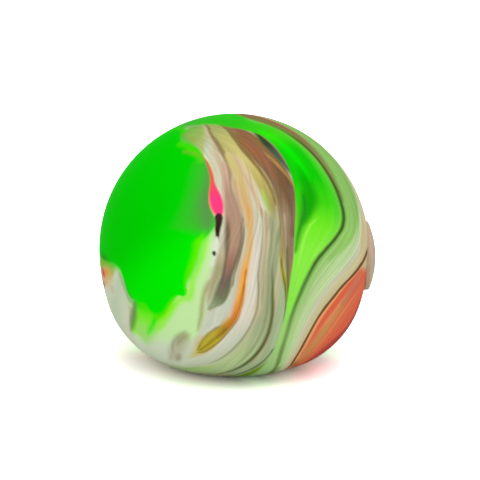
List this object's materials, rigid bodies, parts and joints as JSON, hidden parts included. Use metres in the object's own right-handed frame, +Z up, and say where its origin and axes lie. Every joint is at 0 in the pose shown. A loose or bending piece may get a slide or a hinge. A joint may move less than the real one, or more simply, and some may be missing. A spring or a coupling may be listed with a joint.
{
  "type": "squishy ball",
  "caption": "Soft round squeeze ball: a marbled rubbery skin over a dough filling, with a glued plug in its side that closes the fill hole. It has settled on a small flat.",
  "frame": {"origin": "middle of the flat that the ball has settled on", "axes": "+Z up through the ball's centre, +X along the fill plug's axis and out of the ball"},
  "size_m": [0.0718, 0.07, 0.0654],
  "materials": {
    "marbled_skin": "satin, marbled in bright green, cream, tan, brown, orange and red",
    "dough": "matte, kneaded",
    "plug_rubber": "satin, faintly streaked in tan and grey",
    "clear_glue": "glossy, slightly yellow"
  },
  "bodies": {
    "ball": {"marbled_skin": "marbled_skin", "dough_filling": "dough"},
    "plug": {"fill_plug": "plug_rubber", "glue_ring": "clear_glue"}
  },
  "joints": [
    {"name": "side_squeeze", "type": "slide", "parent": "ball", "child": "plug", "axis": [-1, 0, 0], "range_m": [0, 0.014], "stiffness_N_per_m": 1500, "deforming": ["marbled_skin", "dough_filling"]}
  ]
}
